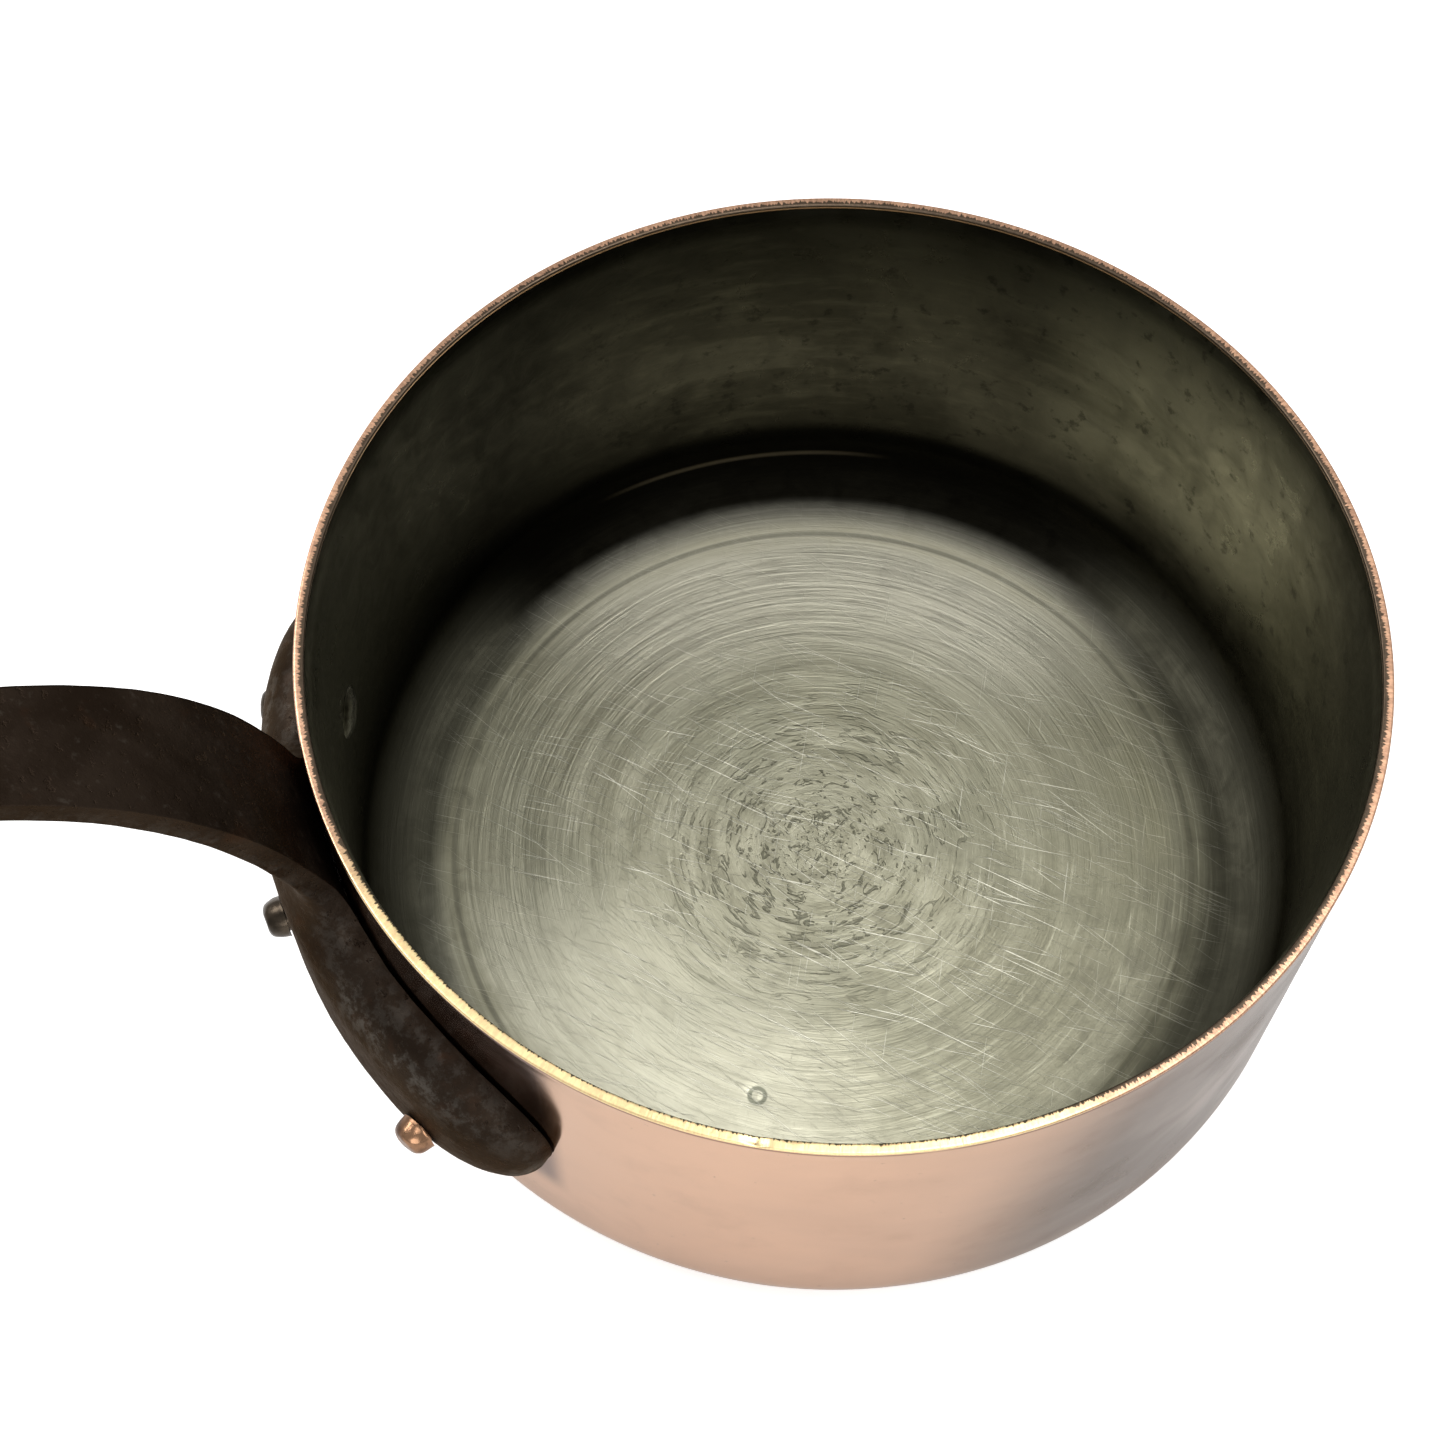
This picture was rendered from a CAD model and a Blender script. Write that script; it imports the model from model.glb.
# %% [markdown]
# # A copper saucepan, tinned inside, on a cast-iron handle
# The solids of the pan come from the frame. Each one is made again here as a fine mesh with the small
# unevenness of a hand-made pan, and gets a finish built from nodes. Every finish reads Object
# coordinates in metres, so a mark stays where it is on the metal from any side.

import math

import bmesh
import bpy
import numpy as np
from mathutils import Matrix, Vector, noise


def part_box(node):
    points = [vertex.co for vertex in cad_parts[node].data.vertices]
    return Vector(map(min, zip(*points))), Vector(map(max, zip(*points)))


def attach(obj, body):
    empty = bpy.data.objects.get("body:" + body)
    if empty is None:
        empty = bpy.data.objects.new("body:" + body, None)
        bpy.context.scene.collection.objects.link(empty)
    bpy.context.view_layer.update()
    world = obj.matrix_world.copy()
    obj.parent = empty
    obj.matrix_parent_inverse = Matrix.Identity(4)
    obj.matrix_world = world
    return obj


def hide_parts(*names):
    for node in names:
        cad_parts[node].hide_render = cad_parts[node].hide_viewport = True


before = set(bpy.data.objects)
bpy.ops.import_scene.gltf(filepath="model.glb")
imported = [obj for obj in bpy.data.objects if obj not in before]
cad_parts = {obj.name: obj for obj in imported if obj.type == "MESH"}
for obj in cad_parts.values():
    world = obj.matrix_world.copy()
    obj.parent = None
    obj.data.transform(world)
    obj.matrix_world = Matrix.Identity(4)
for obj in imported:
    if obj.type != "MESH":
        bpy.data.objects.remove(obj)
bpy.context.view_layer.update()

pan_low, pan_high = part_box("copper_body")
tin_low, tin_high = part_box("tin_lining")
RIM_RADIUS = (pan_high.x - pan_low.x) / 2
PAN_HEIGHT = pan_high.z
COPPER_WALL = 0.0016
CORNER_RADIUS = 0.0125
RIM_MIDDLE = RIM_RADIUS - COPPER_WALL / 2
TIN_FLOOR = 0.0022
print("pan", round(RIM_RADIUS * 2000), "mm across,", round(PAN_HEIGHT * 1000), "mm high")
print("tin from", round(tin_low.z * 1000, 1), "to", round(tin_high.z * 1000, 1), "mm up")

# %% [markdown]
# ## Camera
# The camera stands on the handle's right and looks steeply down into the pan. Its place is worked out
# from the rim's centre: how far away it is, which way it looks, and how far the rim's centre lies from
# the middle of the view. Set by hand, because an exact place matters more here than tracking.

# %% Camera
LENS = 61.44
CAMERA_DISTANCE = 0.3599  # from the rim's centre, along the view
LOOK_DOWN = math.radians(61.91)
LOOK_TURN = math.radians(-110.8)  # heading of the view, from +X
CAMERA_ROLL = math.radians(-0.41)
RIM_RIGHT = 0.01754  # from the middle of the view to the rim's centre
RIM_DOWN = -0.01408

ahead = Vector((
    math.cos(LOOK_TURN) * math.cos(LOOK_DOWN),
    math.sin(LOOK_TURN) * math.cos(LOOK_DOWN),
    -math.sin(LOOK_DOWN),
))
level_right = ahead.cross(Vector((0, 0, 1))).normalized()
level_down = ahead.cross(level_right)
right = level_right * math.cos(CAMERA_ROLL) + level_down * math.sin(CAMERA_ROLL)
down = level_down * math.cos(CAMERA_ROLL) - level_right * math.sin(CAMERA_ROLL)
place = Vector((0, 0, PAN_HEIGHT)) - ahead * CAMERA_DISTANCE - right * RIM_RIGHT - down * RIM_DOWN

camera = bpy.data.objects.new("camera", bpy.data.cameras.new("camera"))
camera.data.lens = LENS
camera.data.sensor_width = 36
camera.data.clip_start = 0.01
turned = Matrix((right, -down, -ahead)).transposed().to_4x4()
camera.matrix_world = Matrix.Translation(place) @ turned
bpy.context.scene.collection.objects.link(camera)
bpy.context.scene.camera = camera
print("camera at", [round(v, 3) for v in place])

# %% [markdown]
# ## Node helpers
# A finish is a small tree of nodes. These helpers add one node, join it up and return its output, so
# that each finish below reads as a list of what it is made of.

# %% Node helpers
class Finish:
    """One material and short ways to add nodes to it."""

    def __init__(self, name):
        self.material = bpy.data.materials.new(name)
        self.material.use_nodes = True
        self.nodes = self.material.node_tree.nodes
        self.links = self.material.node_tree.links
        self.shader = self.nodes["Principled BSDF"]
        self.place = self.add("ShaderNodeTexCoord").outputs["Object"]

    def add(self, kind, inputs=None, **settings):
        node = self.nodes.new(kind)
        for key, value in settings.items():
            setattr(node, key, value)
        for key, value in (inputs or {}).items():
            self.feed(node.inputs[key], value)
        return node

    def feed(self, socket, value):
        if isinstance(value, bpy.types.NodeSocket):
            self.links.new(value, socket)
        else:
            socket.default_value = value

    def math(self, operation, a, b=0.0, c=0.0):
        return self.add("ShaderNodeMath", {0: a, 1: b, 2: c}, operation=operation).outputs[0]

    def step(self, value, low, high, to_low=0.0, to_high=1.0):
        """to_low below low, to_high above high, smooth between."""
        inputs = {"Value": value, "From Min": low, "From Max": high}
        inputs |= {"To Min": to_low, "To Max": to_high}
        return self.add("ShaderNodeMapRange", inputs, interpolation_type="SMOOTHSTEP").outputs[0]

    def noise(self, vector, scale, detail=3.0, rough=0.55, distortion=0.0):
        inputs = {"Vector": vector, "Scale": scale, "Detail": detail}
        inputs |= {"Roughness": rough, "Distortion": distortion}
        return self.add("ShaderNodeTexNoise", inputs).outputs[0]

    def mapped(self, vector, location=(0, 0, 0), turn=0.0, scale=(1, 1, 1)):
        inputs = {"Vector": vector, "Location": location, "Rotation": (0, 0, turn), "Scale": scale}
        return self.add("ShaderNodeMapping", inputs, vector_type="TEXTURE").outputs[0]

    def blend(self, share, a, b):
        """Colour a where share is 0 and b where it is 1."""
        node = self.add("ShaderNodeMix", data_type="RGBA")
        for socket, value in zip([s for s in node.inputs if s.type == "RGBA"], (a, b)):
            self.feed(socket, value)
        self.feed(node.inputs[0], share)
        return [s for s in node.outputs if s.type == "RGBA"][0]

    def cylinder(self):
        """Distance from the pan's axis, angle round it, height, and a vector that runs round the pan."""
        split = self.add("ShaderNodeSeparateXYZ", {0: self.place})
        x, y, z = split.outputs
        squares = self.math("ADD", self.math("MULTIPLY", x, x), self.math("MULTIPLY", y, y))
        radius = self.math("SQRT", squares)
        angle = self.math("ARCTAN2", y, x)
        return radius, angle, z

    def vector(self, x, y, z=0.0):
        return self.add("ShaderNodeCombineXYZ", {0: x, 1: y, 2: z}).outputs[0]

    def facing(self, angle, degrees, low=-1.0, high=1.0):
        """1 on the side of the pan at this heading, 0 on the far side, smooth between."""
        share = self.math("COSINE", self.math("SUBTRACT", angle, math.radians(degrees)))
        return self.step(share, low, high)

    def scratches(self, turn, seed, length, gap, amount, wander=0.0):
        """Thin straight lines: noise stretched along one direction, cut near its top."""
        moved = self.mapped(self.place, (seed, seed * 1.7, 0), turn, (length, gap, 1.0))
        lines = self.noise(moved, 1.0, 2.0, 0.5, wander)
        return self.step(lines, 1 - amount, 1 - amount + 0.03)

    def bump(self, height, strength, distance):
        inputs = {"Strength": strength, "Distance": distance, "Height": height}
        self.links.new(self.add("ShaderNodeBump", inputs).outputs[0], self.shader.inputs["Normal"])


def rgb(red, green, blue):
    return (red, green, blue, 1.0)


print("helpers ready")

# %% [markdown]
# ## Copper
# Old polished copper is soft pink with cloudy patches where it has dulled, a few pits, and a darker
# line under the rim where polish collects. The filed edge of the rim is bare and bright. Both are one
# metal, so one finish holds them, told apart by height and distance from the pan's axis.

# %% Copper finish
GOLD_SIDE = 50  # heading, in degrees from the handle, where the rim was filed brightest
GREY_SIDE = 150  # where the wall has dulled most
STAIN_FROM = math.radians(39.5)  # the stain behind the flange fades in between these headings
STAIN_TO = math.radians(36.5)


def copper_finish():
    f = Finish("copper")
    radius, angle, height = f.cylinder()
    cloud = f.noise(f.mapped(f.place, scale=(1, 1, 0.6)), 26.0, 4.0, 0.5, 0.25)
    haze = f.noise(f.place, 75.0, 5.0, 0.6)
    leaning = f.math("ADD", angle, f.math("MULTIPLY", f.math("SUBTRACT", PAN_HEIGHT, height), 3.0))
    grey_side = f.facing(leaning, GREY_SIDE, 0.40, 0.72)
    dulled = f.math("MULTIPLY", grey_side, f.step(cloud, 0.20, 0.6, 0.75, 1.0))
    color = f.blend(f.step(cloud, 0.35, 0.66), rgb(0.765, 0.465, 0.292), rgb(0.675, 0.412, 0.262))
    color = f.blend(f.step(haze, 0.50, 0.74, 0, 0.35), color, rgb(0.54, 0.325, 0.205))
    color = f.blend(f.math("MULTIPLY", dulled, 0.90), color, rgb(0.110, 0.077, 0.052))
    low_down = f.step(height, 0.026, 0.004, 0, 0.35)
    color = f.blend(low_down, color, rgb(0.45, 0.285, 0.19))
    behind_flange = f.step(f.math("ABSOLUTE", angle), STAIN_FROM, STAIN_TO)
    stained = f.math("MULTIPLY", behind_flange, f.step(height, 0.022, 0.030))
    stained = f.math("MULTIPLY", stained, f.step(cloud, 0.30, 0.65, 0.97, 0.84))
    color = f.blend(stained, color, rgb(0.135, 0.055, 0.027))
    pits = f.noise(f.place, 900.0, 2.0)
    color = f.blend(f.step(pits, 0.72, 0.76, 0, 0.7), color, rgb(0.28, 0.15, 0.10))
    under_rim = f.math("MULTIPLY", f.step(height, PAN_HEIGHT - 0.0014, PAN_HEIGHT - 0.0007),
                       f.step(height, PAN_HEIGHT - 0.00015, PAN_HEIGHT - 0.0004))
    outside = f.step(radius, RIM_MIDDLE, RIM_RADIUS - 0.0004)
    patchy = f.step(f.noise(f.place, 60.0, 2.0), 0.30, 0.55, 0.25, 0.85)
    line = f.math("MULTIPLY", f.math("MULTIPLY", under_rim, outside), patchy)
    color = f.blend(line, color, rgb(0.17, 0.045, 0.030))

    edge = f.step(height, PAN_HEIGHT - 0.0006, PAN_HEIGHT - 0.00035)
    across_rim = f.vector(f.math("MULTIPLY", angle, 80.0), f.math("MULTIPLY", radius, 300.0))
    filing = f.noise(across_rim, 2.0, 3.0)
    gold = f.facing(angle, GOLD_SIDE, 0.66, 0.86)
    plain = f.blend(f.step(filing, 0.35, 0.65), rgb(0.74, 0.45, 0.29), rgb(0.50, 0.29, 0.19))
    bright = f.blend(f.step(filing, 0.35, 0.65), rgb(0.98, 0.80, 0.42), rgb(0.93, 0.66, 0.35))
    bare = f.blend(gold, plain, bright)
    along_rim = f.vector(f.math("MULTIPLY", angle, 210.0), f.math("MULTIPLY", radius, 60.0))
    teeth = f.noise(along_rim, 1.0, 1.0)
    tin_from = f.math("ADD", radius, f.math("MULTIPLY", f.math("SUBTRACT", teeth, 0.5), 0.0016))
    tin_from = f.math("ADD", tin_from, f.math("MULTIPLY", gold, 0.00055))
    inner_half = f.step(tin_from, RIM_MIDDLE, RIM_RADIUS - 0.0010)
    bare = f.blend(f.math("MULTIPLY", inner_half, 0.92), bare, rgb(0.060, 0.050, 0.036))
    color = f.blend(edge, color, bare)
    f.feed(f.shader.inputs["Base Color"], color)

    rough = f.step(cloud, 0.3, 0.7, 0.10, 0.20)
    rough = f.math("ADD", rough, f.step(haze, 0.4, 0.8, 0, 0.08))
    rough = f.math("ADD", rough, f.math("MULTIPLY", dulled, 0.06))
    rough = f.math("ADD", rough, f.math("MULTIPLY", edge, 0.18))
    f.feed(f.shader.inputs["Roughness"], rough)
    f.shader.inputs["Metallic"].default_value = 1
    fine = f.scratches(0.5, 3.1, 0.05, 0.0004, 0.30)
    height_map = f.math("SUBTRACT", f.math("MULTIPLY", haze, 0.3), f.math("MULTIPLY", fine, 0.3))
    height_map = f.math("ADD", height_map, f.math("MULTIPLY", f.math("MULTIPLY", filing, edge), 1.2))
    f.bump(height_map, 0.15, 0.0002)
    return f.material


copper = copper_finish()
print("copper nodes:", len(copper.node_tree.nodes))

# %% [markdown]
# ## Tin
# The lining was wiped on hot with a rag, round and round, so its marks are arcs about the pan's axis.
# Use has scratched the floor and dulled the wall to a dark olive grey. The arcs come from noise that
# is read in polar coordinates and stretched round the axis, and the scratches from noise stretched
# along a line.

# %% Tin finish
FLOOR_RADIUS = RIM_RADIUS - CORNER_RADIUS
PALE_SIDE = 193  # heading, in degrees from the handle, where the wall has kept a pale patch
MIDDLING_SIDE = 210  # round which the wall is less dark
BRIGHT_FRONT = 33  # headings of the floor's brighter and duller parts
BRIGHT_BACK = -113
DULL_SIDE = 160
SCRATCH_LAYS = (
    # heading, seed, length, share of the floor, strength
    (132, 0.3, 0.026, 0.36, 1.0),
    (147, 4.4, 0.020, 0.35, 1.0),
    (118, 9.2, 0.030, 0.34, 0.8),
    (60, 7.9, 0.018, 0.32, 0.6),
)
MARK_AT = (0.0267, 0.0385, 0.0)  # a round tool mark in the floor
MARK_RADIUS = 0.0013
FLOOR_EDGE = 0.0635  # radius of the faint line that the wiping left round the floor


def tin_floor_color(f, radius, angle, arcs, mottle):
    wide_arcs = f.vector(f.math("MULTIPLY", radius, 240.0), f.math("MULTIPLY", angle, 1.2))
    broad = f.noise(wide_arcs, 1.0, 3.0)
    patch = f.noise(f.place, 34.0, 3.0, 0.5, 0.6)
    color = f.blend(f.step(broad, 0.35, 0.65), rgb(0.315, 0.303, 0.217), rgb(0.440, 0.425, 0.315))
    color = f.blend(f.step(patch, 0.42, 0.66, 0, 0.45), color, rgb(0.265, 0.262, 0.190))
    dull = f.math("MULTIPLY", f.facing(angle, DULL_SIDE, -0.1, 0.95), f.step(radius, 0.012, 0.050))
    color = f.blend(f.math("MULTIPLY", dull, 0.62), color, rgb(0.205, 0.198, 0.138))
    color = f.blend(f.step(arcs, 0.52, 0.70, 0, 0.40), color, rgb(0.200, 0.195, 0.140))
    color = f.blend(f.step(arcs, 0.42, 0.27, 0, 0.45), color, rgb(0.590, 0.572, 0.435))
    color = f.blend(f.step(mottle, 0.54, 0.72, 0, 0.40), color, rgb(0.225, 0.215, 0.162))
    color = f.blend(f.step(radius, 0.0640, 0.0690, 0, 0.80), color, rgb(0.058, 0.056, 0.039))
    front = f.math("MULTIPLY", f.facing(angle, BRIGHT_FRONT, 0.60, 1.0), f.step(radius, 0.016, 0.050))
    color = f.blend(f.math("MULTIPLY", front, 0.58), color, rgb(0.790, 0.770, 0.610))
    back = f.math("MULTIPLY", f.facing(angle, BRIGHT_BACK, 0.45, 0.98), f.step(radius, 0.030, 0.060))
    color = f.blend(f.math("MULTIPLY", back, 0.85), color, rgb(0.860, 0.830, 0.680))
    line = f.step(f.math("ABSOLUTE", f.math("SUBTRACT", radius, FLOOR_EDGE)), 0.0007, 0.0002)
    color = f.blend(f.math("MULTIPLY", line, 0.40), color, rgb(0.120, 0.115, 0.082))
    mark = (MARK_AT[0], MARK_AT[1], TIN_FLOOR)
    away = f.add("ShaderNodeVectorMath", {0: f.place, 1: mark}, operation="DISTANCE").outputs["Value"]
    ring = f.step(f.math("ABSOLUTE", f.math("SUBTRACT", away, MARK_RADIUS)), 0.0005, 0.0002)
    return f.blend(f.math("MULTIPLY", ring, 0.75), color, rgb(0.130, 0.140, 0.100))


def tin_wall_color(f, angle, height):
    pale = f.math("MULTIPLY", f.facing(angle, PALE_SIDE, 0.84, 0.99), f.step(height, 0.018, 0.034))
    middling = f.facing(angle, MIDDLING_SIDE, 0.0, 0.85)
    patch = f.noise(f.mapped(f.place, scale=(1, 1, 0.7)), 26.0, 5.0, 0.6, 0.6)
    clouded = f.step(patch, 0.38, 0.64)
    dark = f.blend(clouded, rgb(0.0027, 0.0025, 0.0019), rgb(0.0066, 0.0062, 0.0049))
    middle = f.blend(clouded, rgb(0.0380, 0.0355, 0.0255), rgb(0.0740, 0.0695, 0.0510))
    light = f.blend(clouded, rgb(0.120, 0.115, 0.080), rgb(0.200, 0.192, 0.140))
    color = f.blend(pale, f.blend(middling, dark, middle), light)
    flat_wall = f.vector(f.math("MULTIPLY", angle, 5.0), f.math("MULTIPLY", height, 300.0))
    streak = f.noise(flat_wall, 1.0, 4.0, 0.6)
    brighter = f.step(f.math("MAXIMUM", pale, middling), 0.0, 1.0, 0.05, 0.22)
    color = f.blend(f.math("MULTIPLY", f.step(streak, 0.45, 0.75), brighter), color, rgb(0.17, 0.16, 0.115))
    spots = f.step(f.noise(f.place, 280.0, 4.0, 0.65), 0.56, 0.70, 0, 0.55)
    color = f.blend(spots, color, rgb(0.0060, 0.0055, 0.0040))
    near_rim = f.step(height, 0.052, 0.074, 0.0, 0.62)
    color = f.blend(near_rim, color, rgb(0.0060, 0.0058, 0.0042))
    behind = f.facing(angle, -107, 0.35, 0.90)
    shade = f.math("ADD", f.math("MULTIPLY", behind, 0.62), 0.30)
    corner = f.math("MULTIPLY", f.step(height, 0.0185, 0.0145), shade)
    color = f.blend(corner, color, rgb(0.0038, 0.0034, 0.0022))
    low = f.math("MULTIPLY", f.step(height, 0.0120, 0.0050), f.step(behind, 0.2, 0.9, 0.95, 0.0))
    color = f.blend(low, color, rgb(0.070, 0.067, 0.048))
    glint = f.step(f.math("ABSOLUTE", f.math("SUBTRACT", height, 0.0088)), 0.0006, 0.0001)
    glint = f.math("MULTIPLY", glint, f.facing(angle, -100, 0.93, 0.995))
    return f.blend(f.math("MULTIPLY", glint, 0.8), color, rgb(0.120, 0.100, 0.066))


def tin_finish():
    f = Finish("tin")
    radius, angle, height = f.cylinder()
    on_floor = f.step(radius, FLOOR_RADIUS + 0.0040, FLOOR_RADIUS - 0.0035)
    round_axis = f.vector(f.math("MULTIPLY", radius, 1100.0), f.math("MULTIPLY", angle, 2.6))
    arcs = f.noise(round_axis, 1.0, 4.0, 0.65, 0.6)
    mottle = f.noise(f.place, 170.0, 5.0, 0.65, 0.8)
    floor = tin_floor_color(f, radius, angle, arcs, mottle)
    in_middle = f.step(radius, 0.044, 0.010)
    short_arcs = f.vector(f.math("MULTIPLY", radius, 620.0), f.math("MULTIPLY", angle, 3.4))
    dashes = f.noise(short_arcs, 1.0, 3.0, 0.6, 1.4)
    fleck = f.math("MULTIPLY", f.step(dashes, 0.55, 0.64), in_middle)
    floor = f.blend(f.math("MULTIPLY", fleck, 0.80), floor, rgb(0.120, 0.118, 0.082))
    color = f.blend(on_floor, tin_wall_color(f, angle, height), floor)

    scratch = None
    for heading, seed, length, share, strength in SCRATCH_LAYS:
        lay = f.math("MULTIPLY", f.scratches(math.radians(heading), seed, length, 0.00028, share), strength)
        scratch = f.math("MAXIMUM", scratch, lay) if scratch else lay
    fewer_outside = f.step(radius, 0.066, 0.030, 0.35, 1.0)
    scratch = f.math("MULTIPLY", f.math("MULTIPLY", scratch, on_floor), fewer_outside)
    color = f.blend(f.math("MULTIPLY", scratch, 0.85), color, rgb(0.88, 0.86, 0.72))
    f.feed(f.shader.inputs["Base Color"], color)
    f.shader.inputs["Metallic"].default_value = 1
    f.shader.inputs["Specular Tint"].default_value = rgb(0.78, 0.77, 0.72)
    rough = f.step(mottle, 0.3, 0.7, 0.25, 0.38)
    rough = f.math("ADD", rough, f.math("MULTIPLY", f.step(arcs, 0.3, 0.7), 0.08))
    rough = f.math("ADD", rough, f.math("MULTIPLY", on_floor, 0.12))
    in_corner = f.math("MULTIPLY", f.step(radius, 0.0580, 0.0640), f.step(height, 0.0130, 0.0080))
    rough = f.math("ADD", rough, f.math("MULTIPLY", in_corner, 0.28))
    f.feed(f.shader.inputs["Roughness"], rough)
    heights = f.math("ADD", f.math("MULTIPLY", arcs, 0.9), f.math("MULTIPLY", mottle, 0.5))
    heights = f.math("SUBTRACT", heights, f.math("MULTIPLY", fleck, 0.8))
    heights = f.math("SUBTRACT", heights, f.math("MULTIPLY", scratch, 0.5))
    f.bump(heights, 0.45, 0.00025)
    return f.material


tin = tin_finish()
print("tin nodes:", len(tin.node_tree.nodes))

# %% [markdown]
# ## Cast iron
# The handle was cast in sand and never machined: brown-black skin with pits and pale specks, rubbed
# grey on its edges. Its colour, roughness and bump all follow the same grain.

# %% Iron finish
def iron_finish():
    f = Finish("cast_iron")
    grain = f.noise(f.place, 520.0, 5.0, 0.65)
    patch = f.noise(f.place, 60.0, 4.0, 0.55, 0.5)
    color = f.blend(f.step(patch, 0.34, 0.68), rgb(0.0190, 0.0122, 0.0080), rgb(0.0370, 0.0258, 0.0182))
    color = f.blend(f.step(grain, 0.58, 0.76, 0, 0.50), color, rgb(0.080, 0.068, 0.054))
    rust = f.noise(f.place, 150.0, 3.0, 0.5)
    color = f.blend(f.step(rust, 0.60, 0.74, 0, 0.45), color, rgb(0.045, 0.021, 0.011))
    worn = f.add("ShaderNodeAttribute", attribute_name="worn").outputs["Fac"]
    broken = f.noise(f.place, 340.0, 6.0, 0.75)
    rubbed = f.math("MULTIPLY", worn, f.step(broken, 0.46, 0.60, 0.10, 1.0))
    color = f.blend(rubbed, color, rgb(0.40, 0.385, 0.345))
    f.feed(f.shader.inputs["Base Color"], color)
    f.shader.inputs["Metallic"].default_value = 0.9
    f.shader.inputs["Specular IOR Level"].default_value = 0.3
    f.shader.inputs["Specular Tint"].default_value = rgb(0.55, 0.48, 0.42)
    rough = f.math("SUBTRACT", f.step(grain, 0.3, 0.7, 0.42, 0.58), f.math("MULTIPLY", rubbed, 0.12))
    f.feed(f.shader.inputs["Roughness"], rough)
    pits = f.step(grain, 0.30, 0.42)
    heights = f.math("ADD", f.math("MULTIPLY", grain, 0.6), f.math("MULTIPLY", pits, 0.6))
    f.bump(heights, 0.6, 0.0004)
    return f.material


iron = iron_finish()
print("iron nodes:", len(iron.node_tree.nodes))

# %% [markdown]
# ## Rivets
# Copper rivets, hammered over outside. Inside the pan their flat heads were tinned with the lining, so
# the finish turns from copper to tin by distance from the pan's axis.

# %% Rivet finish
def rivet_finish():
    f = Finish("rivet_copper")
    radius, angle, _ = f.cylinder()
    cloud = f.noise(f.place, 260.0, 4.0, 0.6)
    metal = f.blend(f.step(cloud, 0.35, 0.7), rgb(0.36, 0.200, 0.115), rgb(0.090, 0.050, 0.031))
    bright_side = f.step(angle, math.radians(8), math.radians(18))
    old = f.blend(f.step(cloud, 0.35, 0.7), rgb(0.080, 0.062, 0.045), rgb(0.030, 0.024, 0.018))
    metal = f.blend(bright_side, old, metal)
    tinned = f.step(radius, RIM_MIDDLE, RIM_RADIUS - 0.0012)
    crease = f.scratches(math.radians(70), 2.2, 0.012, 0.0009, 0.42)
    dull = f.blend(f.step(cloud, 0.4, 0.7), rgb(0.030, 0.027, 0.018), rgb(0.075, 0.070, 0.050))
    dull = f.blend(f.math("MULTIPLY", crease, 0.35), dull, rgb(0.16, 0.15, 0.11))
    f.feed(f.shader.inputs["Base Color"], f.blend(tinned, metal, dull))
    f.shader.inputs["Metallic"].default_value = 1
    f.feed(f.shader.inputs["Roughness"], f.step(cloud, 0.3, 0.7, 0.22, 0.40))
    f.bump(cloud, 0.35, 0.0003)
    return f.material


rivet_metal = rivet_finish()
print("rivet nodes:", len(rivet_metal.node_tree.nodes))

# %% [markdown]
# ## Turning a profile with Geometry Nodes
# The bowl, its lining and the rivets are all turned shapes. A Screw modifier would do it too, but a
# small node tree shows the rule itself: every point of a grid looks up its profile point by its
# column, and its angle by its row. The tree is shared, and its inputs give the profile's point count,
# the number of turns and the finish.

# %% Lathe tree
def lathe_tree():
    tree = bpy.data.node_groups.new("turn_profile", "GeometryNodeTree")
    face = tree.interface
    face.new_socket("Profile", in_out="INPUT", socket_type="NodeSocketGeometry")
    face.new_socket("Profile Points", in_out="INPUT", socket_type="NodeSocketInt")
    face.new_socket("Turns", in_out="INPUT", socket_type="NodeSocketInt")
    face.new_socket("Finish", in_out="INPUT", socket_type="NodeSocketMaterial")
    face.new_socket("Geometry", in_out="OUTPUT", socket_type="NodeSocketGeometry")

    def add(kind, inputs=None, **settings):
        node = tree.nodes.new(kind)
        for key, value in settings.items():
            setattr(node, key, value)
        for key, value in (inputs or {}).items():
            if isinstance(value, bpy.types.NodeSocket):
                tree.links.new(value, node.inputs[key])
            else:
                node.inputs[key].default_value = value
        return node

    def calc(operation, a, b=0.0):
        return add("ShaderNodeMath", {0: a, 1: b}, operation=operation).outputs[0]

    given = add("NodeGroupInput").outputs
    rows = calc("ADD", given["Turns"], 1.0)
    grid = add("GeometryNodeMeshGrid", {"Vertices X": given["Profile Points"], "Vertices Y": rows})
    index = add("GeometryNodeInputIndex").outputs[0]
    column = calc("FLOOR", calc("DIVIDE", calc("ADD", index, 0.5), rows))
    row = calc("SUBTRACT", index, calc("MULTIPLY", column, rows))
    turn = calc("MULTIPLY", calc("DIVIDE", row, given["Turns"]), math.tau)
    point = add("GeometryNodeSampleIndex", {"Geometry": given["Profile"], "Index": column},
                data_type="FLOAT_VECTOR", domain="POINT")
    position = add("GeometryNodeInputPosition").outputs[0]
    tree.links.new(position, point.inputs["Value"])
    split = add("ShaderNodeSeparateXYZ", {0: point.outputs[0]})
    out, height = split.outputs[0], split.outputs[2]
    x = calc("MULTIPLY", out, calc("COSINE", turn))
    y = calc("MULTIPLY", out, calc("SINE", turn))
    spot = add("ShaderNodeCombineXYZ", {0: x, 1: y, 2: height}).outputs[0]
    placed = add("GeometryNodeSetPosition", {"Geometry": grid.outputs["Mesh"], "Position": spot})
    closed = add("GeometryNodeMergeByDistance", {"Geometry": placed.outputs[0], "Distance": 1e-6})
    real = add("GeometryNodeRealizeInstances", {"Geometry": closed.outputs[0]})
    painted = add("GeometryNodeSetMaterial", {"Geometry": real.outputs[0], "Material": given["Finish"]})
    tree.links.new(painted.outputs[0], add("NodeGroupOutput").inputs[0])
    return tree


lathe = lathe_tree()


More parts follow.
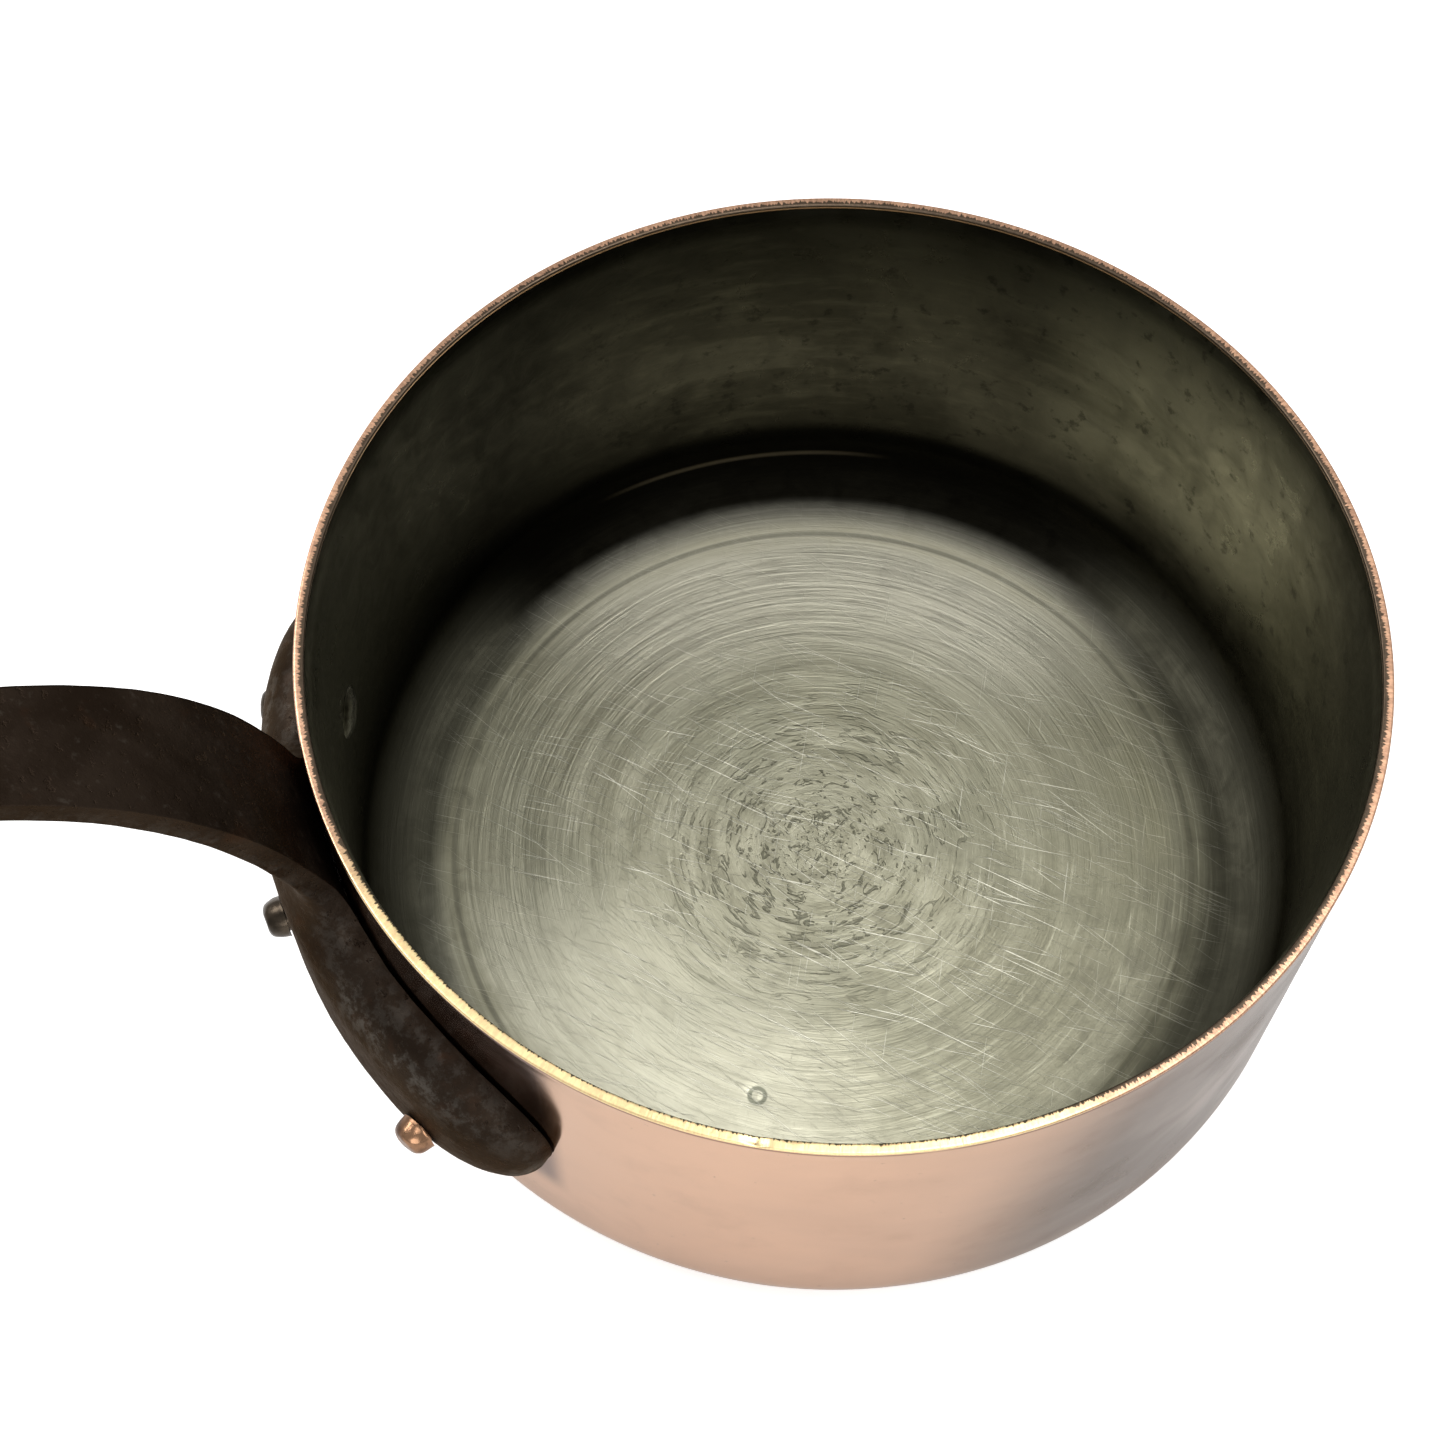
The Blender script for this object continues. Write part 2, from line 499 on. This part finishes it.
SHARP_ANGLE = math.radians(50)


def plain_mesh(name, bm, finish):
    """A new object at the origin with faces out and smooth, and sharp edges kept."""
    bmesh.ops.recalc_face_normals(bm, faces=bm.faces)
    mesh = bpy.data.meshes.new(name)
    bm.to_mesh(mesh)
    bm.free()
    mesh.materials.clear()
    mesh.materials.append(finish)
    mesh.shade_smooth()
    mesh.set_sharp_from_angle(angle=SHARP_ANGLE)
    obj = bpy.data.objects.new(name, mesh)
    bpy.context.scene.collection.objects.link(obj)
    return obj


def turned_bmesh(points, turns, finish):
    """The profile's points (out, up) turned round Z by the node tree, as a bmesh."""
    mesh = bpy.data.meshes.new("profile")
    mesh.from_pydata([(out, 0, up) for out, up in points], [(i, i + 1) for i in range(len(points) - 1)], [])
    holder = bpy.data.objects.new("profile", mesh)
    bpy.context.scene.collection.objects.link(holder)
    modifier = holder.modifiers.new("turn", "NODES")
    modifier.node_group = lathe
    wanted = {"Profile Points": len(points), "Turns": turns, "Finish": finish}
    for item in lathe.interface.items_tree:
        if item.in_out == "INPUT" and item.name in wanted:
            modifier[item.identifier] = wanted[item.name]
    bpy.context.view_layer.update()
    made = bpy.data.meshes.new_from_object(holder.evaluated_get(bpy.context.evaluated_depsgraph_get()))
    bpy.data.objects.remove(holder, do_unlink=True)
    bm = bmesh.new()
    bm.from_mesh(made)
    return bm


def arc(center, radius, start, end, steps):
    """Points (out, up) from one angle to another, in degrees, both ends included."""
    angles = [math.radians(start + (end - start) * i / steps) for i in range(steps + 1)]
    return [(center[0] + radius * math.cos(a), center[1] + radius * math.sin(a)) for a in angles]


def between(a, b, steps):
    """Points on the line from a to b, leaving out both ends."""
    return [(a[0] + (b[0] - a[0]) * i / steps, a[1] + (b[1] - a[1]) * i / steps) for i in range(1, steps)]


print("lathe tree nodes:", len(lathe.nodes))

# %% [markdown]
# ## The copper bowl
# The bowl was spun or raised from sheet, then filed flat along its rim. Its profile is one closed line
# from the middle of the base, round the corner, up the wall, over the rim and back down inside. The
# wall of a hand-finished pan is never quite even, so the turned mesh is then moved a few hundredths of
# a millimetre by slow noise, which makes the reflections in it wander.

# %% Bowl
BOWL_TURNS = 600
RIM_ROUND = 0.0003
NICK_ANGLE = math.radians(60.1)
NICK_WIDTH = 0.0011
NICK_DEPTH = 0.0005
FILE_DEPTH = 0.00016
FILE_MARKS = 900  # file marks come and go about this often in a metre
RIM_BAND = 0.002  # the top of the wall, which the file reached
BOWL_WAVES = [(0.022, 0.00010), (0.007, 0.00003)]  # size and depth


def bowl_profile():
    corner = (RIM_RADIUS - CORNER_RADIUS, CORNER_RADIUS)
    inner_wall = RIM_RADIUS - COPPER_WALL
    inner_corner = CORNER_RADIUS - COPPER_WALL
    points = [(0, 0)] + between((0, 0), (corner[0], 0), 22)
    points += arc(corner, CORNER_RADIUS, -90, 0, 18)
    points += between((RIM_RADIUS, CORNER_RADIUS), (RIM_RADIUS, PAN_HEIGHT - RIM_ROUND), 40)
    points += arc((RIM_RADIUS - RIM_ROUND, PAN_HEIGHT - RIM_ROUND), RIM_ROUND, 0, 90, 4)
    points += between((RIM_RADIUS - RIM_ROUND, PAN_HEIGHT), (inner_wall + RIM_ROUND, PAN_HEIGHT), 5)
    points += arc((inner_wall + RIM_ROUND, PAN_HEIGHT - RIM_ROUND), RIM_ROUND, 90, 180, 4)
    points += between((inner_wall, PAN_HEIGHT - RIM_ROUND), (inner_wall, CORNER_RADIUS), 12)
    points += arc(corner, inner_corner, 0, -90, 8)
    return points + [(0, COPPER_WALL)]


def uneven(bm, sizes_and_depths, keep=None):
    """Moves each point inwards along its normal, by noise of each size (metres) and depth (metres)."""
    bm.normal_update()
    for vert in bm.verts:
        depth = 0.0
        for size, most in sizes_and_depths:
            depth += most * (0.5 + 0.5 * noise.noise(vert.co / size))
        share = keep(vert.co) if keep else 1.0
        vert.co -= vert.normal * depth * share


def file_rim(bm):
    """Small file marks along the rim's inner edge, and one nick."""
    nick = Vector((math.cos(NICK_ANGLE), math.sin(NICK_ANGLE), 0)) * (RIM_RADIUS - COPPER_WALL / 2)
    for vert in bm.verts:
        radius = math.hypot(vert.co.x, vert.co.y)
        if vert.co.z < PAN_HEIGHT - RIM_BAND or radius < RIM_RADIUS - COPPER_WALL - 1e-4:
            continue
        inner = max(0.0, (RIM_RADIUS - 0.0010 - radius) / 0.0006)
        tooth = noise.noise(Vector((vert.co.x, vert.co.y, 0)) * FILE_MARKS)
        vert.co.z -= FILE_DEPTH * inner * max(0.0, tooth)
        away = (Vector((vert.co.x, vert.co.y, 0)) - nick).length
        top = max(0.0, 1 - (PAN_HEIGHT - vert.co.z) / RIM_BAND)
        vert.co.z -= NICK_DEPTH * top * math.exp(-(away / NICK_WIDTH) ** 2)


bm = turned_bmesh(bowl_profile(), BOWL_TURNS, copper)
bmesh.ops.recalc_face_normals(bm, faces=bm.faces)
uneven(bm, BOWL_WAVES, lambda p: 1.0 if 0.002 < p.z < PAN_HEIGHT - 0.001 else 0.0)
file_rim(bm)
bowl = plain_mesh("copper_bowl", bm, copper)
print("bowl faces:", len(bowl.data.polygons))

# %% [markdown]
# ## The tin lining
# Tin is wiped on as a thin coat. At the top it feathers out to nothing just below the bare rim. The
# wiping leaves faint rings on the floor, so the floor's height ripples slightly with distance from the
# axis, and the ring-shaped tool mark near the front is pressed in.

# %% Lining
TIN_TURNS = 400
TIN_CLEARANCE = 0.00004  # between the tin's back and the copper
TIN_OUTSIDE = RIM_RADIUS - COPPER_WALL - TIN_CLEARANCE
TIN_INSIDE = 0.0778
TIN_CORNER = 0.0103
TIN_TOP = PAN_HEIGHT - 0.0008
RIPPLE_HEIGHT = 0.00003
MARK_DEPTH = 0.0002
MARK_LINE = 0.0004  # width of the tool mark's line
PIP_HEIGHT = 0.00025
PIP_SIZE = 0.0005
PIPS = [Vector((0.0128, -0.0637, 0)), Vector((-0.0003, -0.0658, 0)), Vector((-0.0272, -0.0626, 0))]


def lining_profile():
    base = COPPER_WALL + TIN_CLEARANCE
    outer_corner = CORNER_RADIUS - COPPER_WALL - TIN_CLEARANCE
    outer_center = (TIN_OUTSIDE - outer_corner, base + outer_corner)
    center = (TIN_INSIDE - TIN_CORNER, TIN_FLOOR + TIN_CORNER)
    points = [(0, base)] + arc(outer_center, outer_corner, -90, 0, 8)
    points += between(points[-1], (TIN_OUTSIDE, TIN_TOP), 8) + [(TIN_OUTSIDE, TIN_TOP)]
    points += [(TIN_INSIDE + 0.00030, TIN_TOP - 0.0014), (TIN_INSIDE + 0.00008, TIN_TOP - 0.0030)]
    points += between(points[-1], (TIN_INSIDE, center[1]), 44)
    points += arc(center, TIN_CORNER, 0, -90, 16)
    return points + between((center[0], TIN_FLOOR), (0, TIN_FLOOR), 84) + [(0, TIN_FLOOR)]


bm = turned_bmesh(lining_profile(), TIN_TURNS, tin)
for vert in bm.verts:
    radius = math.hypot(vert.co.x, vert.co.y)
    if vert.co.z > TIN_FLOOR - 1e-5 and radius < TIN_INSIDE - TIN_CORNER - 0.0001:
        ripple = noise.noise(Vector((radius * 700, 0, 0.3))) + 0.5 * noise.noise(vert.co * 90)
        vert.co.z += RIPPLE_HEIGHT * ripple
        flat_place = Vector((vert.co.x, vert.co.y, 0))
        ring = (flat_place - Vector(MARK_AT)).length - MARK_RADIUS
        vert.co.z -= MARK_DEPTH * math.exp(-(ring / MARK_LINE) ** 2)
        for pip in PIPS:
            vert.co.z += PIP_HEIGHT * math.exp(-((flat_place - pip).length / PIP_SIZE) ** 2)
lining = plain_mesh("tin_coat", bm, tin)
print("lining faces:", len(lining.data.polygons))

# %% [markdown]
# ## The cast handle
# The handle is one casting: a wide flange bent to the pan's wall, and a bar that grows out of its
# middle, bends outwards and runs straight. It is drawn flat first, as rows of points along the casting.
# Each point then gets its thickness from its distance to the edge, and the flat sheet is bent in code.
# A curve with a bevel couldn't change its section this much, and sculpting wouldn't follow a rule.

# %% Casting sizes and rows
FLANGE_MIDDLE = 0.0430  # height of the flange's middle above the base
FLANGE_HALF_HEIGHT = 0.0166
FLANGE_HALF_WIDTH = 0.0530
FLANGE_END = 0.0250
FLANGE_DEPTH = 0.0094
FLANGE_DEPTH_AT_ENDS = 0.0080
FLANGE_EDGE = 0.0016
FLANGE_ROUND = 0.0112
BEND_START = 0.0142  # above the flange's middle
BEND_RADIUS = 0.0670
BEND_ANGLE = math.radians(75)
STRAIGHT_RUN = 0.1170  # from the bend's end to the eye
ROOT_FILLET = 0.0110
ROOT_HALF_WIDTH = 0.0116
WAIST_HALF_WIDTH = 0.0085
END_HALF_WIDTH = 0.0125
BAR_THICKNESS = 0.0045
BAR_EDGE = 0.0024
BAR_ROUND = 0.0016
BAR_BLEND = 0.0190
EXTRA_SIDE = 0.0014  # how much deeper the bar's sides are cast than those of its end
EYE_RADIUS = 0.0060
FLANGE_INSIDE = RIM_RADIUS + 0.0001
FLANGE_HEIGHT = 2 * FLANGE_HALF_HEIGHT
BEND_AT = FLANGE_HALF_HEIGHT + BEND_START
BEND_END = BEND_AT + BEND_RADIUS * BEND_ANGLE
EYE_AT = BEND_END + STRAIGHT_RUN
ROOT_AT = FLANGE_HEIGHT + ROOT_FILLET
MIDDLE_SHARE = 0.86  # how far up the flange its middle rows reach, so that they bow
COLUMN_COUNT = 40
SAND_MARKS = [(0.013, 0.00022), (0.0032, 0.00012), (0.0013, 0.00007)]  # size and depth


def smooth(start, end, value):
    t = np.clip((value - start) / (end - start), 0, 1)
    return t * t * (3 - 2 * t)


def mix(a, b, t):
    return a + (b - a) * t


def casting_rows():
    """(distance up the middle, distance up at the side, half width) of each row."""
    rows = []
    for turn in np.linspace(-math.pi / 2, math.pi / 2, 71):
        side = FLANGE_HALF_HEIGHT * (1 + math.sin(turn))
        rows.append((side * MIDDLE_SHARE, side, FLANGE_HALF_WIDTH - FLANGE_END * (1 - math.cos(turn))))
    for share in np.linspace(0, 1, 22)[1:]:
        turn = math.pi / 2 * share
        side = FLANGE_HEIGHT + ROOT_FILLET * (1 - math.cos(turn))
        middle = mix(FLANGE_HEIGHT * MIDDLE_SHARE, ROOT_AT, share)
        rows.append((middle, side, ROOT_HALF_WIDTH + ROOT_FILLET * (1 - math.sin(turn))))
    for along in np.linspace(ROOT_AT, EYE_AT, 150)[1:]:
        if along < BEND_END:
            width = mix(ROOT_HALF_WIDTH, WAIST_HALF_WIDTH, smooth(ROOT_AT, BEND_END, along))
        else:
            width = mix(WAIST_HALF_WIDTH, END_HALF_WIDTH, smooth(BEND_END, EYE_AT, along))
        rows.append((along, along, float(width)))
    for turn in np.linspace(0, math.pi / 2, 25)[1:]:
        along = EYE_AT + END_HALF_WIDTH * math.sin(turn)
        rows.append((along, along, END_HALF_WIDTH * math.cos(turn)))
    return rows


columns = np.sin(np.linspace(-math.pi / 2, math.pi / 2, 2 * COLUMN_COUNT + 1))
flat = np.array([
    [(mix(middle, side, share * share), width * share) for share in columns]
    for middle, side, width in casting_rows()
])
print("casting rows and columns:", flat.shape[:2])

# %% Thickness and bending
def edge_distance(points, line):
    """Shortest distance from each flat point to the outline."""
    shortest = np.full(len(points), np.inf)
    for start, end in zip(line, line[1:]):
        run = end - start
        length = max(float(run @ run), 1e-12)
        share = np.clip((points - start) @ run / length, 0, 1)
        gap = points - start - share[:, None] * run
        shortest = np.minimum(shortest, np.hypot(gap[:, 0], gap[:, 1]))
    return shortest


def thickness(along, across, from_edge):
    """Full depth in the middle, falling in a quarter round to the edge."""
    bar = smooth(FLANGE_HEIGHT - BAR_BLEND / 6, FLANGE_HEIGHT + BAR_BLEND * 5 / 6, along)
    flange = mix(FLANGE_DEPTH, FLANGE_DEPTH_AT_ENDS, (across / FLANGE_HALF_WIDTH) ** 2)
    full = mix(flange, BAR_THICKNESS, bar)
    edge = mix(FLANGE_EDGE, BAR_EDGE, bar)
    heavier = EXTRA_SIDE * bar * (1 - smooth(EYE_AT - 0.045, EYE_AT - 0.012, along))
    full = full + heavier / 3
    edge = edge + heavier
    inwards = np.minimum(1, from_edge / mix(FLANGE_ROUND, BAR_ROUND, bar))
    return edge + (full - edge) * np.sqrt(1 - (1 - inwards) ** 2)


def casting_point(along, across, depth):
    """A flat point bent round the wall, then along the bar's bend."""
    turn = min(BEND_ANGLE, max(0, (along - BEND_AT) / BEND_RADIUS))
    base = Vector((FLANGE_INSIDE, 0, FLANGE_MIDDLE - FLANGE_HALF_HEIGHT + min(along, BEND_AT)))
    base += Vector((1 - math.cos(turn), 0, math.sin(turn))) * BEND_RADIUS
    base += Vector((math.sin(turn), 0, math.cos(turn))) * max(0, along - BEND_END)
    away = Vector((math.cos(turn), 0, -math.sin(turn)))
    curl = 1 - float(smooth(FLANGE_HEIGHT, FLANGE_HEIGHT + 2 * ROOT_FILLET, along))
    if curl < 1e-3:
        return base + away * depth + Vector((0, across, 0))
    radius = FLANGE_INSIDE / curl
    angle = across / radius
    out = (radius + depth) * math.cos(angle) - radius
    return base + away * out + Vector((0, (radius + depth) * math.sin(angle), 0))


outline = np.concatenate([flat[0], flat[1:, -1], flat[::-1, 0]])
points = flat.reshape(-1, 2)
from_edge = edge_distance(points, outline)
depths = thickness(points[:, 0], points[:, 1], from_edge)
print("thickest:", round(float(depths.max()) * 1000, 1), "mm")

# %% Casting mesh
def ring_of(sheet):
    """The outer loop of a sheet of rows, in order."""
    loop = list(sheet[0]) + [row[-1] for row in sheet[1:]]
    return loop + list(sheet[-1][-2::-1]) + [row[0] for row in sheet[-2:0:-1]]


def casting_bmesh():
    bm = bmesh.new()
    worn = bm.verts.layers.float.new("worn")
    shape = flat.shape[:2]
    inner = []
    outer = []
    for i in range(shape[0]):
        low_row = []
        high_row = []
        for j in range(shape[1]):
            index = i * shape[1] + j
            along, across = map(float, points[index])
            low_row.append(bm.verts.new(casting_point(along, across, 0)))
            high = bm.verts.new(casting_point(along, across, float(depths[index])))
            high[worn] = wear(along, across, float(from_edge[index]))
            high_row.append(high)
        inner.append(low_row)
        outer.append(high_row)
    for sheet in (inner, outer):
        for low, high in zip(sheet, sheet[1:]):
            for i in range(len(low) - 1):
                bm.faces.new((low[i], low[i + 1], high[i + 1], high[i]))
    rim_in = ring_of(inner)
    rim_out = ring_of(outer)
    for i in range(len(rim_in)):
        bm.faces.new((rim_in[i - 1], rim_in[i], rim_out[i], rim_out[i - 1]))
    bmesh.ops.remove_doubles(bm, verts=bm.verts, dist=2e-6)
    bmesh.ops.dissolve_degenerate(bm, dist=1e-7, edges=bm.edges)
    bmesh.ops.recalc_face_normals(bm, faces=bm.faces)
    return bm


def wear(along, across, edge):
    """1 where hands and cloths rub the iron grey: the flange's edge, its tips and the bar's edges."""
    on_flange = 1 - float(smooth(FLANGE_HEIGHT - 0.004, FLANGE_HEIGHT + 0.008, along))
    low = 1 - float(smooth(0.004, 0.020, along))
    tip = float(smooth(0.036, 0.051, abs(across)))
    rim = 1 - float(smooth(0.0006, 0.0052, edge))
    high_face = float(smooth(0.020, 0.031, along))
    ridge = high_face * float(smooth(0.012, 0.022, abs(across))) * float(smooth(0.0010, 0.0040, edge))
    flange = rim * (0.05 + 0.95 * max(low * 0.60, tip * low)) + 0.15 * ridge
    return min(1.0, on_flange * flange + (1 - on_flange) * 0.05 * rim)


bm = casting_bmesh()
uneven(bm, SAND_MARKS)
casting = plain_mesh("cast_handle", bm, iron)
print("handle faces:", len(casting.data.polygons))

# %% [markdown]
# ## The eye
# The handle ends in a hole to hang the pan by, with its edges eased by the sand mould. A turned cutter
# that flares at both ends makes the hole and its soft edges in one Boolean cut.

# %% Eye
EYE_FLARE = 0.0012
EYE_TURNS = 48
EYE_SHARP_ANGLE = math.radians(28)
eye_axis = Vector((math.cos(BEND_ANGLE), 0, -math.sin(BEND_ANGLE)))
eye_center = casting_point(EYE_AT, 0, BAR_THICKNESS / 2)
half = BAR_THICKNESS / 2
flare = arc((EYE_RADIUS + EYE_FLARE, half - EYE_FLARE), EYE_FLARE, 90, 180, 6)
cutter_edge = EYE_RADIUS + 4 * EYE_FLARE
cutter_profile = [(0, 3 * half), (cutter_edge, 3 * half), (cutter_edge, half)]
cutter_profile += flare + [(r, -h) for r, h in reversed(flare)]
cutter_profile += [(cutter_edge, -half), (cutter_edge, -3 * half), (0, -3 * half)]
bm = turned_bmesh(cutter_profile, EYE_TURNS, iron)
eye_place = Matrix.Translation(eye_center) @ eye_axis.to_track_quat("Z", "Y").to_matrix().to_4x4()
bmesh.ops.transform(bm, verts=bm.verts, matrix=eye_place)
cutter = plain_mesh("eye_cutter", bm, iron)
modifier = casting.modifiers.new("eye", "BOOLEAN")
modifier.operation = "DIFFERENCE"
modifier.object = cutter
bpy.context.view_layer.update()
cut_mesh = bpy.data.meshes.new_from_object(casting.evaluated_get(bpy.context.evaluated_depsgraph_get()))
casting.modifiers.clear()
casting.data = cut_mesh
cut_mesh.name = "cast_handle"
cut_mesh.shade_smooth()
cut_mesh.set_sharp_from_angle(angle=EYE_SHARP_ANGLE)
bpy.data.objects.remove(cutter, do_unlink=True)
print("handle faces after the eye:", len(casting.data.polygons))
print("wear kept:", "worn" in cut_mesh.attributes)

# %% [markdown]
# ## The rivets
# Three rivets hold the handle. Each has a low head inside the pan, a shank, and a round hammered head
# outside. They repeat, so the node tree turns the same profile three times; only the height and the
# angle round the pan change. The noise that dents the heads reads each rivet's own place, so no two
# are alike.

# %% Rivets
RIVET_ANGLE = math.radians(25.2)
SHANK_RADIUS = 0.0025
OUTER_HEAD_RADIUS = 0.0034
OUTER_HEAD_HEIGHT = 0.0034
INNER_HEAD_RADIUS = 0.0049
INNER_HEAD_HEIGHT = 0.0011
HEAD_FULLNESS = 0.45  # 1 would be a half ball, less is blunter
HAMMER_MARKS = [(0.0030, 0.00035), (0.0011, 0.00012)]  # size and depth
RIVET_TURNS = 64
RIVET_PLACES = {"front": (RIVET_ANGLE, 0.0383), "middle": (0.0, 0.0430), "rear": (-RIVET_ANGLE, 0.0383)}


def rivet_profile(angle):
    across = FLANGE_INSIDE * angle
    flange = mix(FLANGE_DEPTH, FLANGE_DEPTH_AT_ENDS, (across / FLANGE_HALF_WIDTH) ** 2)
    seat = math.sqrt(TIN_INSIDE**2 - INNER_HEAD_RADIUS**2) + 0.0002
    top = TIN_INSIDE - INNER_HEAD_HEIGHT
    outer_seat = FLANGE_INSIDE + flange - 0.0001
    points = [(INNER_HEAD_RADIUS * share, mix(top, seat, share**4)) for share in np.linspace(0, 1, 16)]
    points += [(SHANK_RADIUS, seat + 0.0002), (SHANK_RADIUS, outer_seat)]
    for t in np.linspace(0, math.pi / 2, 18):
        out = OUTER_HEAD_RADIUS * max(0.0, math.cos(t)) ** HEAD_FULLNESS
        points.append((out, outer_seat + OUTER_HEAD_HEIGHT * math.sin(t)))
    points[-1] = (0, outer_seat + OUTER_HEAD_HEIGHT)
    return [(float(out), float(up)) for out, up in points]


rivets = {}
for name, (angle, height) in RIVET_PLACES.items():
    bm = turned_bmesh(rivet_profile(angle), RIVET_TURNS, rivet_metal)
    outwards = Vector((math.cos(angle), math.sin(angle), 0))
    place = Matrix.Translation((0, 0, height)) @ outwards.to_track_quat("Z", "Y").to_matrix().to_4x4()
    bmesh.ops.transform(bm, verts=bm.verts, matrix=place)
    bmesh.ops.recalc_face_normals(bm, faces=bm.faces)
    uneven(bm, HAMMER_MARKS)
    rivets[name] = plain_mesh("rivet_" + name + "_fine", bm, rivet_metal)
print("rivets:", {name: len(piece.data.polygons) for name, piece in rivets.items()})

# %% [markdown]
# ## Join the pieces to the frame
# Every piece rides on the one body of the part, stands for its solid, and names its material slot.

# %% Ride, replace, slot
pairs = [
    (bowl, "copper_body", "copper"),
    (lining, "tin_lining", "tin"),
    (casting, "iron_handle", "cast_iron"),
]
pairs += [(piece, "rivet_" + name, "rivet_copper") for name, piece in rivets.items()]
for piece, node, slot in pairs:
    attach(piece, "root")
    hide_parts(node)
print("pieces:", len(pairs))

# %% [markdown]
# ## Floor, world and lamps
# A pale floor meets a pale world. Camera rays see both as white, and the floor keeps its shadow
# because only part of its brightness is its own light. Three large soft lamps do the lighting: a key
# high on the left, a broad top light and a low fill, so that polished metal shows wide soft shapes.

# %% Floor and world
bpy.context.scene.view_settings.view_transform = "Standard"

FLOOR_SIZE = 6.0
FLOOR_GLOW = 0.58  # the floor's own light, for camera rays only
ROOM_LIGHT = 0.55
floor_mesh = bpy.data.meshes.new("floor")
half = FLOOR_SIZE / 2
corners = [(-half, -half, 0), (half, -half, 0), (half, half, 0), (-half, half, 0)]
floor_mesh.from_pydata(corners, [], [(0, 1, 2, 3)])
floor = bpy.data.objects.new("floor", floor_mesh)
bpy.context.scene.collection.objects.link(floor)
pale = bpy.data.materials.new("pale_floor")
pale.use_nodes = True
nodes = pale.node_tree.nodes
links = pale.node_tree.links
shader = nodes["Principled BSDF"]
shader.inputs["Base Color"].default_value = rgb(0.80, 0.80, 0.80)
shader.inputs["Roughness"].default_value = 0.9
shader.inputs["Specular IOR Level"].default_value = 0.0
shader.inputs["Emission Color"].default_value = rgb(1, 1, 1)
seen = nodes.new("ShaderNodeLightPath")
lift = nodes.new("ShaderNodeMath")
lift.operation = "MULTIPLY"
lift.inputs[1].default_value = FLOOR_GLOW
links.new(seen.outputs["Is Camera Ray"], lift.inputs[0])
links.new(lift.outputs[0], shader.inputs["Emission Strength"])
floor_mesh.materials.append(pale)

world = bpy.data.worlds.new("pale_world")
bpy.context.scene.world = world
world.use_nodes = True
nodes = world.node_tree.nodes
links = world.node_tree.links
background = nodes["Background"]
background.inputs["Color"].default_value = rgb(1, 1, 1)
seen = nodes.new("ShaderNodeLightPath")
level = nodes.new("ShaderNodeMapRange")
level.inputs["To Min"].default_value = ROOM_LIGHT
level.inputs["To Max"].default_value = 1.0
links.new(seen.outputs["Is Camera Ray"], level.inputs["Value"])
links.new(level.outputs[0], background.inputs["Strength"])

# %% Lamps
def soft_lamp(name, place, aim, size, watts):
    data = bpy.data.lights.new(name, "AREA")
    data.shape = "RECTANGLE"
    data.size, data.size_y = size
    data.energy = watts
    lamp = bpy.data.objects.new(name, data)
    turned = (Vector(aim) - Vector(place)).to_track_quat("-Z", "Y").to_matrix().to_4x4()
    lamp.matrix_world = Matrix.Translation(place) @ turned
    bpy.context.scene.collection.objects.link(lamp)


PAN_MIDDLE = (0, 0, 0.05)
soft_lamp("key", (0.55, -0.50, 0.85), PAN_MIDDLE, (0.6, 0.6), 7.0)
soft_lamp("top", (-0.25, 0.15, 1.10), PAN_MIDDLE, (0.9, 0.5), 6.0)
soft_lamp("fill", (0.35, 0.95, 0.45), PAN_MIDDLE, (0.7, 0.4), 2.5)
print("lamps ready")
